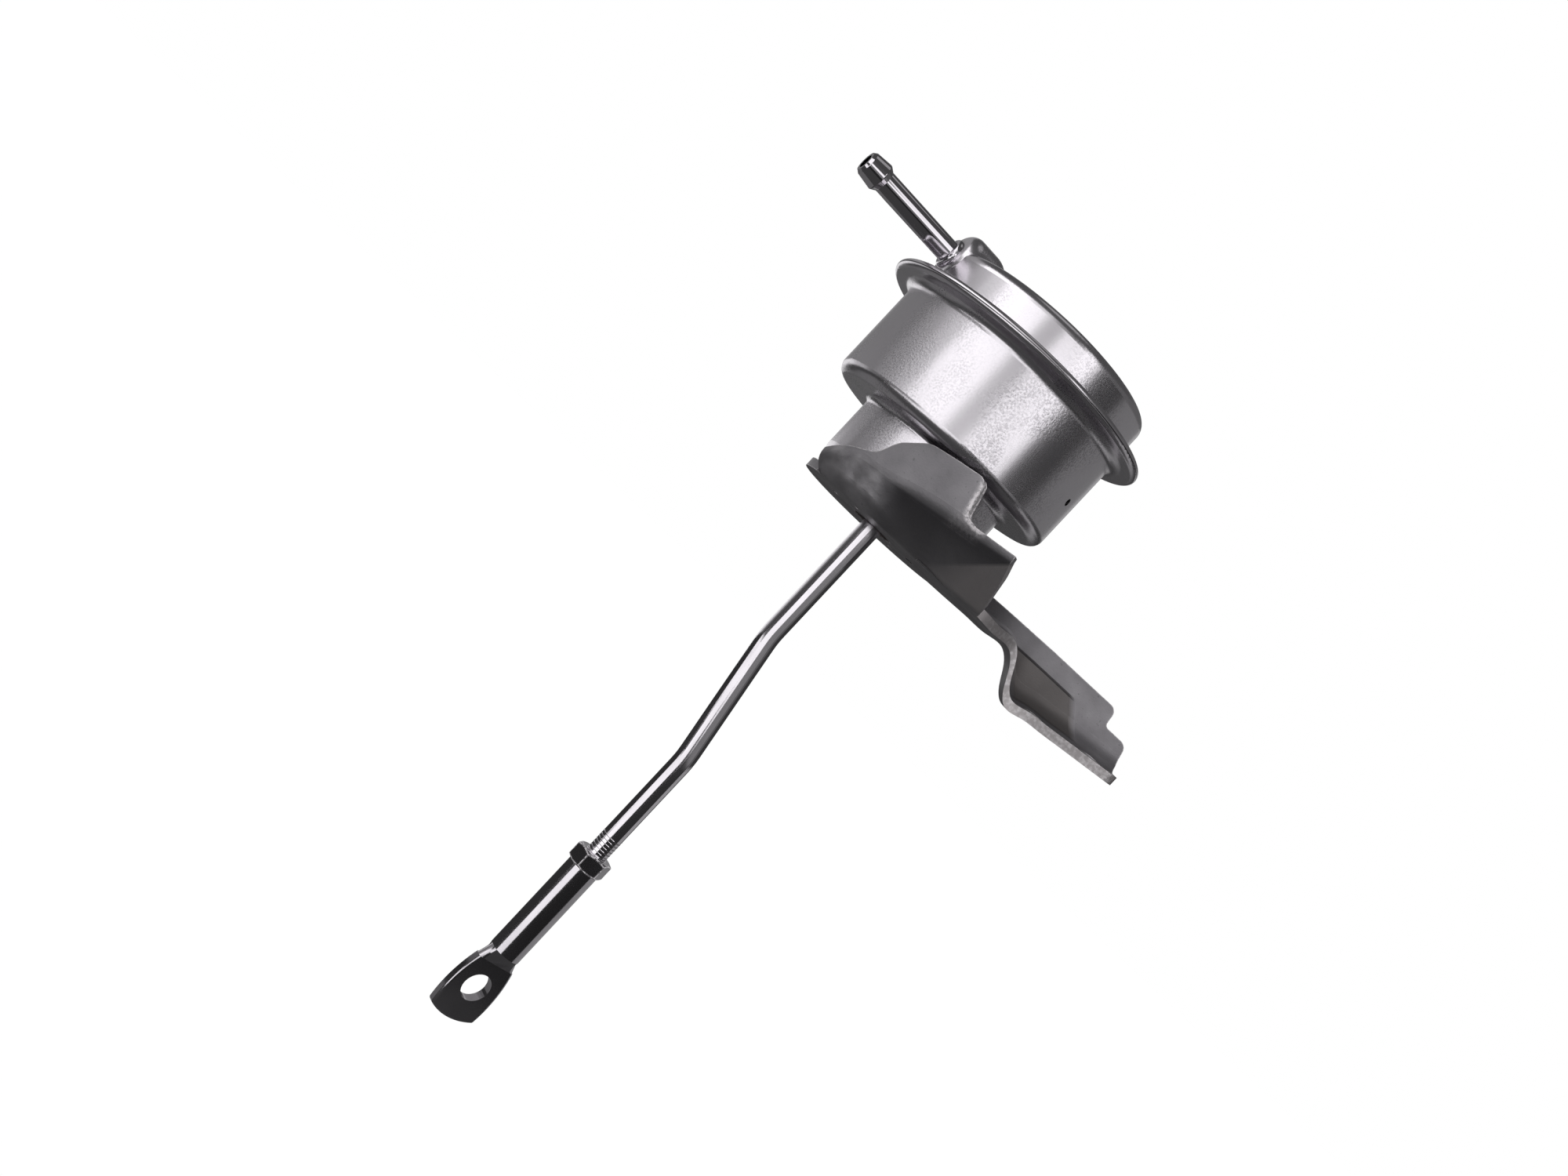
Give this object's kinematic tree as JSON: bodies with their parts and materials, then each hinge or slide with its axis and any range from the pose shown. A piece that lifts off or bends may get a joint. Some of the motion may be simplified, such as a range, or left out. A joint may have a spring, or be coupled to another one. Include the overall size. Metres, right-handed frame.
{
  "type": "wastegate actuator",
  "caption": "Round diaphragm canister on a pressed steel bracket, with a side hose nipple and a sprung push rod that ends in a flat eye.",
  "frame": {"origin": "on the canister's axis, at the underside of the bracket's round base", "axes": "+Z along the push rod's guide line towards the cap, +X towards the bracket's arm, -Y towards the apron and its upright lug"},
  "size_m": [0.1557, 0.0926, 0.2446],
  "materials": {
    "can": "satin drawn and plated",
    "cap": "satin drawn and plated",
    "nipple": "bright plated",
    "bracket": "matt, with rough cut edges",
    "diaphragm": "matt",
    "piston": "pressed",
    "washer": "plain",
    "spring": "oiled",
    "spring_seat": "plain",
    "guide": "turned",
    "rod": "bright plated",
    "nut": "plated",
    "rod_end": "plated"
  },
  "bodies": {
    "canister": {"bracket": "bracket", "lower_can": "can", "cap": "cap", "hose_nipple": "nipple", "diaphragm": "diaphragm", "return_spring": "spring", "spring_seat": "spring_seat", "rod_guide": "guide"},
    "push_rod": {"rod": "rod", "piston_cup": "piston", "piston_plate": "piston", "head_washer": "washer", "backing_washer": "washer", "lock_nut": "nut", "rod_end": "rod_end"}
  },
  "joints": [
    {"name": "rod_slide", "type": "slide", "parent": "canister", "child": "push_rod", "axis": [0, 0, -1], "range_m": [0, 0.012], "stiffness_N_per_m": 9500, "springref_m": -0.0125, "deforming": ["return_spring", "diaphragm"]}
  ]
}
